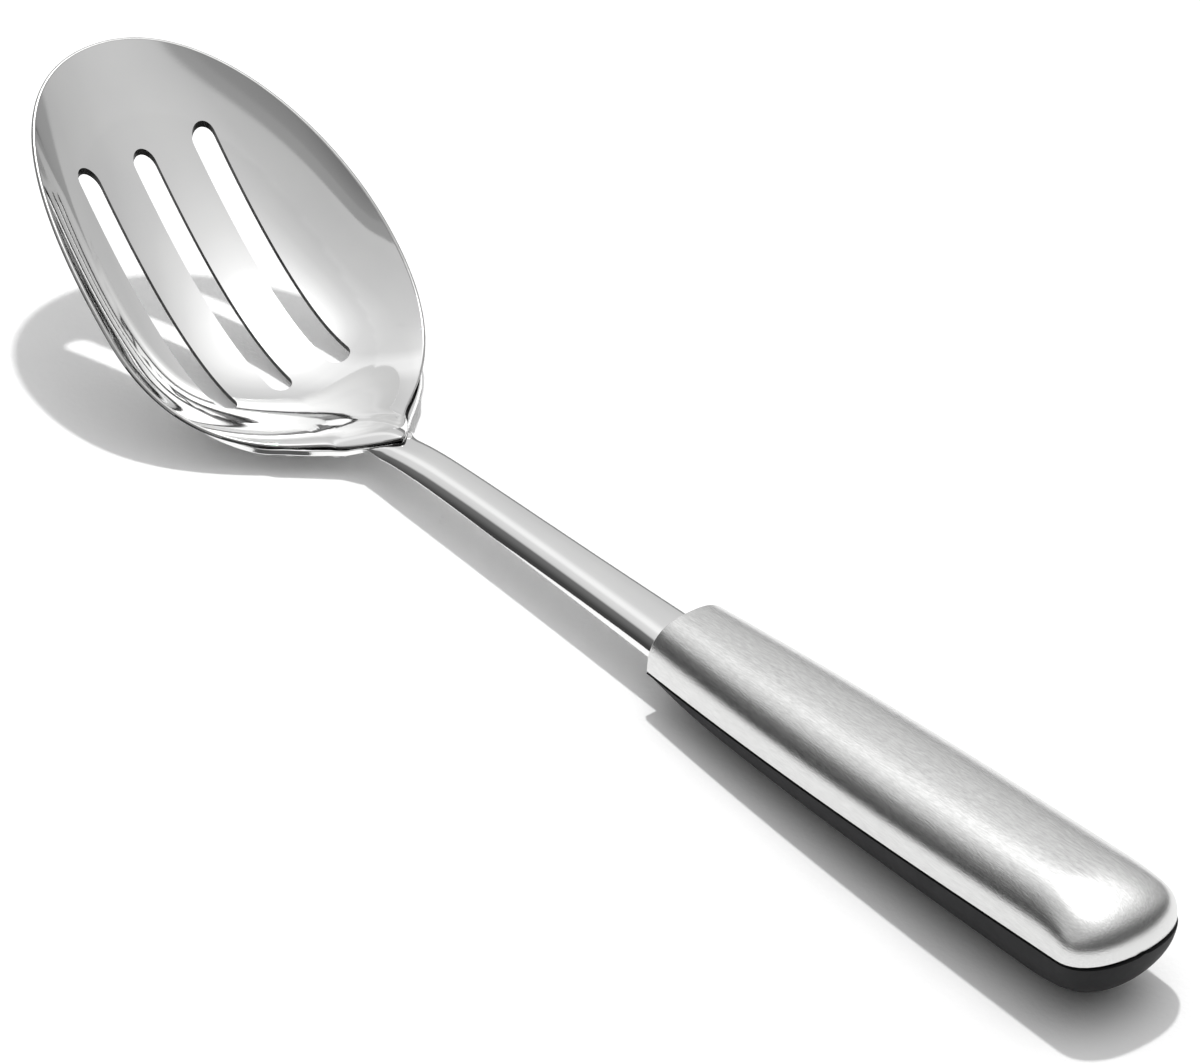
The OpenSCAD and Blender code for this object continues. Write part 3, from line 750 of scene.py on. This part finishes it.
def ramp(nt, fac, stops):
    r = nt.nodes.new("ShaderNodeValToRGB")
    el = r.color_ramp.elements
    while len(el) < len(stops):
        el.new(0.5)
    for e, (p, c) in zip(el, stops):
        e.position = p
        e.color = (c[0], c[1], c[2], 1)
    nt.links.new(fac, r.inputs[0])
    return r.outputs[0]


def map_range(nt, fac, lo, hi, a=0.0, b=1.0):
    n = nt.nodes.new("ShaderNodeMapRange")
    n.inputs["From Min"].default_value = a
    n.inputs["From Max"].default_value = b
    n.inputs["To Min"].default_value = lo
    n.inputs["To Max"].default_value = hi
    nt.links.new(fac, n.inputs["Value"])
    return n.outputs[0]


def bump(nt, bsdf, height, strength, distance):
    b = nt.nodes.new("ShaderNodeBump")
    b.inputs["Strength"].default_value = strength
    b.inputs["Distance"].default_value = distance
    nt.links.new(height, b.inputs["Height"])
    nt.links.new(b.outputs[0], bsdf.inputs["Normal"])


def material(name, tint, tint_noise, gloss, gloss_noise, relief, relief_noise,
             metallic=0.0, specular=0.5, spread=(0.3, 0.7)):
    """A surface whose colour, roughness and relief each follow a noise.

    tint is the darker and the lighter colour, met at the two values in spread. gloss is the
    lower and upper roughness, or one roughness. relief is the bump's strength and distance."""
    m = bpy.data.materials.new(name)
    m.use_nodes = True
    nt = m.node_tree
    nt.nodes.clear()
    out = nt.nodes.new("ShaderNodeOutputMaterial")
    bsdf = nt.nodes.new("ShaderNodeBsdfPrincipled")
    nt.links.new(bsdf.outputs[0], out.inputs["Surface"])
    bsdf.inputs["Metallic"].default_value = metallic
    bsdf.inputs["Specular IOR Level"].default_value = specular
    nt.links.new(ramp(nt, noise(nt, *tint_noise), list(zip(spread, tint))),
                 bsdf.inputs["Base Color"])
    if gloss_noise:
        nt.links.new(map_range(nt, noise(nt, *gloss_noise), *gloss), bsdf.inputs["Roughness"])
    else:
        bsdf.inputs["Roughness"].default_value = gloss
    bump(nt, bsdf, noise(nt, *relief_noise), *relief)
    return m


EVEN = (1, 1, 1)
GRAIN = ((1, 9, 9), 420, 4, 0.6)
STEEL = material("polished_steel",
                 ((0.86, 0.86, 0.86), (0.90, 0.90, 0.895)), (EVEN, 60, 3),
                 (0.045, 0.065), (EVEN, 180, 3),
                 (0.008, 0.0002), ((1, 6, 6), 900, 2), metallic=1.0)
# Rougher steel for the rim's lip, its colour darkened below the polished steel's as painted shade
SHADED_LIP = material("rough_lip_painted_shade",
               ((0.44, 0.44, 0.435), (0.52, 0.52, 0.515)), (EVEN, 300, 3),
               (0.26, 0.36), (EVEN, 700, 2),
               (0.1, 0.0001), (EVEN, 1500, 2), metallic=1.0)
# Near-black steel: a painted shade on the bowl's slot walls and on the lip's outer half
SHADED_EDGE = material("painted_shade_edge",
                ((0.02, 0.02, 0.02), (0.05, 0.05, 0.049)), (EVEN, 500, 3),
                (0.3, 0.45), (EVEN, 900, 2),
                (0.2, 0.0001), ((1, 1, 0.2), 2200, 2), metallic=1.0)
BRUSHED = material("brushed_steel",
                   ((0.62, 0.62, 0.615), (0.80, 0.80, 0.795)), GRAIN,
                   (0.2, 0.3), GRAIN,
                   (0.3, 0.0001), ((1, 3, 3), 1400, 3, 0.6), metallic=1.0, spread=(0.25, 0.75))
RUBBER = material("grip_rubber",
                  ((0.010, 0.010, 0.011), (0.017, 0.017, 0.018)), (EVEN, 90, 3),
                  (0.52, 0.66), (EVEN, 400, 2),
                  (0.18, 0.0001), (EVEN, 2600, 2), specular=0.25)
CORE = material("core_plastic",
                ((0.02, 0.02, 0.02), (0.035, 0.035, 0.035)), (EVEN, 120, 2),
                (0.45, 0.6), (EVEN, 300, 2),
                (0.15, 0.0001), (EVEN, 1500, 2))


# Pieces
def dress(ob, node, slot_name, *materials):
    """Gives ob its materials, a marked face the one its mark counts to, and puts it for node."""
    for mat in materials:
        ob.data.materials.append(mat)
    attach(ob, "root")
    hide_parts(node)


verts, faces, vn = bowl_piece()
bowl = new_object("steel_bowl", verts, faces, vn)
slots = [slot_cutter(k * SLOT_PITCH, f"cut_slot{k + 1}") for k in (-1, 0, 1)]
cut(bowl, slots, verts, faces, vn, slot_normal, bowl_mark)
# Material 1, on the slot walls and the lip's outer half, is painted near-black as shade; material
# 2, the lip, is steel darkened as painted shade
dress(bowl, "bowl", "polished_steel", STEEL, SHADED_EDGE, SHADED_LIP)

verts, faces, vn = stem_piece()
stem = new_object("steel_stem", verts, faces, vn)
cut(stem, stem_cutters(), verts, faces, vn)
dress(stem, "stem", "polished_steel", STEEL)

verts, faces, vn = shell_piece()
shell = new_object("brushed_shell", verts, faces, vn)
dress(shell, "handle_shell", "brushed_steel", BRUSHED)

verts, faces = grip_piece()
grip = new_object("rubber_grip", verts, faces)
by_angle(grip, GRIP_SHARP)
dress(grip, "soft_grip", "grip_rubber", RUBBER)

# The pieces that are mostly hidden keep their CAD meshes
for node_name, mat in (("weld_spots", STEEL), ("tang_pins", STEEL), ("handle_core", CORE)):
    for place in NODES[node_name].material_slots:
        place.material = mat


# Floor
FLOOR_R, FLOOR_N = 3000.0, 24
turns = [2 * math.pi * k / FLOOR_N for k in range(FLOOR_N)]
floor = new_object("floor", [(0, 0, 0)] + [(FLOOR_R * math.cos(a), FLOOR_R * math.sin(a), 0)
                                           for a in turns],
                   [(0, k + 1, (k + 1) % FLOOR_N + 1) for k in range(FLOOR_N)], smooth=False)
floor.data.materials.append(material(
    "floor_paper", ((0.92, 0.92, 0.92), (0.94, 0.94, 0.94)), (EVEN, 40, 3),
    0.8, None, (0.3, 0.0003), (EVEN, 900, 3), specular=0.2))

# Key light, which throws the shadow of the photograph
KEY_PLACE, KEY_SIZE, KEY_POWER = Vector((-0.3906, 0.3449, 1.430)), 0.06, 13
key_data = bpy.data.lights.new("key", "AREA")
key_data.energy = KEY_POWER
key_data.size = KEY_SIZE
key = bpy.data.objects.new("key", key_data)
bpy.context.scene.collection.objects.link(key)
key.location = KEY_PLACE
key.rotation_euler = (-KEY_PLACE).to_track_quat("-Z", "Y").to_euler()


# Studio around the spoon: a ceiling of soft boxes, seen in each direction by where it
# meets a plane above the spoon. u runs to the tail and v to the spoon's far side.
# Brightness goes by pairs of place and brightness.
LEAST_Z = 0.02
MIDDLE_V = 0.35
CEILING = [(0.0, 2.6), (0.2, 2.3), (0.42, 1.45), (0.6, 1.12), (0.8, 0.92),
           (1.1, 0.80), (1.5, 0.76), (2.0, 0.72), (4.0, 0.70)]
# Lighter towards the bowl's tip than towards the tail
TILT, TILT_U = (1.14, 0.86), (-1.2, 1.0)
# A strip light over the handle
STRIP = [(-0.3, 0.0), (0.1, 0.05), (0.28, 0.32), (0.45, 0.32), (0.7, 0.05), (1.0, 0.0)]
STRIP_U, STRIP_SOFT = -0.55, 0.3
# The soft boxes end in an oval: near the tail, and further off at both sides. Each oval has
# its reach to the tail, to the near side and to the far side.
FRAME_OVAL, ROOM_OVAL, OVAL_SOFT = (0.96, 2.3, 5.0), (1.03, 3.05, 14.0), 0.008
FRAME_GLOW = [(1.0, 0.42), (1.5, 0.40), (3.0, 0.36)]
ROOM = [(1.0, 0.35), (1.4, 0.27), (2.2, 0.17), (8.0, 0.12)]
# The dark corner on the near side, beyond the bowl's tip
CORNER = [(0.9, 0.24), (1.5, 0.2), (2.5, 0.12), (4.0, 0.07)]
CORNER_U, CORNER_U_SOFT, CORNER_V, CORNER_V_SOFT = 0.85, 0.02, -0.39, 0.1


def math_node(nt, op, a, b=None):
    n = nt.nodes.new("ShaderNodeMath")
    n.operation = op
    for k, v in enumerate((a, b)):
        if isinstance(v, (int, float)):
            n.inputs[k].default_value = v
        elif v is not None:
            nt.links.new(v, n.inputs[k])
    return n.outputs[0]


def curve(nt, value, stops):
    """Brightness along a value."""
    low, high = stops[0][0], stops[-1][0]
    top = max(b for _, b in stops)
    fac = map_range(nt, value, 0.0, 1.0, low, high)
    r = ramp(nt, fac, [((p - low) / (high - low), (b / top,) * 3) for p, b in stops])
    return math_node(nt, "MULTIPLY", r, top)


def above(nt, value, edge, soft):
    """0 below the edge and 1 above it."""
    return map_range(nt, value, 0.0, 1.0, edge - soft, edge + soft)


def rest_of(nt, fac):
    return math_node(nt, "SUBTRACT", 1.0, fac)


def blend(nt, a, b, fac):
    """a where fac is 0, b where it is 1."""
    return math_node(nt, "ADD", math_node(nt, "MULTIPLY", a, rest_of(nt, fac)),
                     math_node(nt, "MULTIPLY", b, fac))


def length(nt, a, b, size_a, size_b):
    """Distance from the middle of an oval, 1 on its line."""
    a = math_node(nt, "DIVIDE", a, size_a)
    b = math_node(nt, "DIVIDE", b, size_b)
    return math_node(nt, "SQRT", math_node(nt, "ADD", math_node(nt, "MULTIPLY", a, a),
                                           math_node(nt, "MULTIPLY", b, b)))


def studio_world():
    world = bpy.data.worlds.new("studio")
    bpy.context.scene.world = world
    world.use_nodes = True
    nt = world.node_tree
    nt.nodes.clear()
    out = nt.nodes.new("ShaderNodeOutputWorld")
    bg = nt.nodes.new("ShaderNodeBackground")
    tc = nt.nodes.new("ShaderNodeTexCoord")
    xyz = nt.nodes.new("ShaderNodeSeparateXYZ")
    nt.links.new(tc.outputs["Generated"], xyz.inputs[0])
    z = math_node(nt, "MAXIMUM", xyz.outputs[2], LEAST_Z)
    u = math_node(nt, "DIVIDE", xyz.outputs[0], z)
    v = math_node(nt, "DIVIDE", xyz.outputs[1], z)
    tail = math_node(nt, "MAXIMUM", u, 0.0)
    near = math_node(nt, "MULTIPLY", math_node(nt, "MINIMUM", v, 0.0), -1.0)
    side = math_node(nt, "MAXIMUM", v, 0.0)

    def oval(reach_tail, reach_near, reach_side):
        return math_node(nt, "MAXIMUM", length(nt, tail, near, reach_tail, reach_near),
                         length(nt, tail, side, reach_tail, reach_side))

    far = length(nt, u, math_node(nt, "SUBTRACT", v, MIDDLE_V), 1.0, 1.0)
    ceiling = math_node(nt, "MULTIPLY", curve(nt, far, CEILING), map_range(nt, u, *TILT, *TILT_U))
    strip = math_node(nt, "MULTIPLY", rest_of(nt, above(nt, u, STRIP_U, STRIP_SOFT)),
                      curve(nt, v, STRIP))
    light = math_node(nt, "ADD", ceiling, strip)
    for reach, beyond in ((FRAME_OVAL, FRAME_GLOW), (ROOM_OVAL, ROOM)):
        away = oval(*reach)
        light = blend(nt, light, curve(nt, away, beyond), above(nt, away, 1.0, OVAL_SOFT))
    to_tip = math_node(nt, "MULTIPLY", u, -1.0)
    corner = math_node(nt, "MULTIPLY", above(nt, to_tip, CORNER_U, CORNER_U_SOFT),
                       rest_of(nt, above(nt, v, CORNER_V, CORNER_V_SOFT)))
    light = blend(nt, light, curve(nt, far, CORNER), corner)
    nt.links.new(light, bg.inputs["Strength"])
    nt.links.new(bg.outputs[0], out.inputs["Surface"])


studio_world()

# Camera at the photograph's angle. Its focal length is in pixels of the photograph.
CAM_PLACE = Vector((790.768, -661.646, 745.465)) * MM
CAM_AZIMUTH, CAM_ELEVATION, CAM_ROLL = (math.radians(v) for v in (-40.1401, 35.2201, 1.2900))
FOCAL_PX, PHOTO_W, SENSOR_W = 6721.0, 1200.0, 36.0
cam_data = bpy.data.cameras.new("camera")
cam = bpy.data.objects.new("camera", cam_data)
bpy.context.scene.collection.objects.link(cam)
cam.matrix_world = (Matrix.Translation(CAM_PLACE)
                    @ Matrix.Rotation(CAM_AZIMUTH + math.pi / 2, 4, "Z")
                    @ Matrix.Rotation(math.pi / 2 - CAM_ELEVATION, 4, "X")
                    @ Matrix.Rotation(CAM_ROLL, 4, "Z"))
cam_data.sensor_fit = "HORIZONTAL"
cam_data.sensor_width = SENSOR_W
cam_data.lens = SENSOR_W * FOCAL_PX / PHOTO_W
cam_data.clip_start = 0.05
cam_data.clip_end = 20.0
bpy.context.scene.camera = cam
bpy.context.scene.view_settings.view_transform = "Standard"
